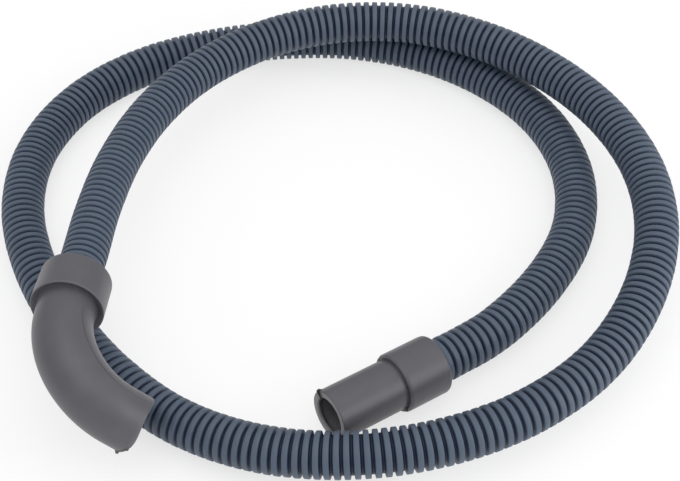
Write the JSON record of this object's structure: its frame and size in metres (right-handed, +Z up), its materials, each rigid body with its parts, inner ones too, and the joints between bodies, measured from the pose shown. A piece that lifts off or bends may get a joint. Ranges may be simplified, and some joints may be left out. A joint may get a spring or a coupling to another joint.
{
  "type": "condenser dryer drain hose",
  "caption": "Corrugated plastic drain hose lying in loose turns, with a rubber right-angle elbow on one end and a straight stepped rubber cuff on the other.",
  "frame": {"origin": "on the floor, at the centre of the whole part's outline seen from above", "axes": "+Z up from the floor; -X the way the straight cuff's nozzle points, within four degrees"},
  "size_m": [0.3734, 0.3729, 0.0724],
  "materials": {
    "hose_plastic": "blow-moulded polypropylene, slate blue-grey, satin",
    "end_rubber": "moulded rubber, mid grey, dull satin"
  },
  "bodies": {
    "root": {"corrugated_hose": "hose_plastic", "elbow": "end_rubber", "straight_cuff": "end_rubber"}
  },
  "joints": []
}
